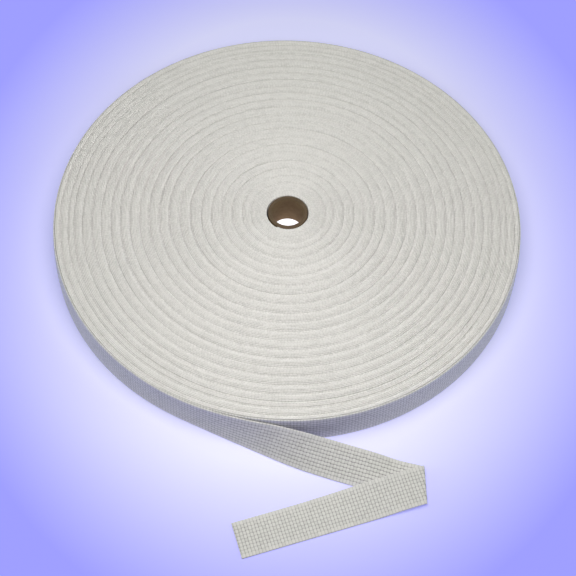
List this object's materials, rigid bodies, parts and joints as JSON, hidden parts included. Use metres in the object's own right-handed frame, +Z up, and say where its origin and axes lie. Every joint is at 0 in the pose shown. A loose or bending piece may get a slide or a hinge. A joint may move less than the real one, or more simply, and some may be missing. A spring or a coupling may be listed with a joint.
{
  "type": "roll of polypropylene webbing",
  "caption": "Flat wound roll of narrow woven strap on a small round tube core, lying flat, its loose end twisted over, folded back and laid beside it.",
  "frame": {"origin": "under the middle of the whole part, on the surface that it lies on; the roll's own axis is 44.4 mm from it towards +Y", "axes": "+Z up, along the roll's axis; +Y from the loose end to the roll, the longest way; +X to the right seen from the loose end"},
  "size_m": [0.3618, 0.4506, 0.027],
  "materials": {
    "webbing": "white plain-woven webbing with a faint sheen",
    "core": "matt brown board, wound in plies"
  },
  "bodies": {
    "root": {"core": "core", "roll": "webbing", "tail": "webbing"}
  },
  "joints": []
}
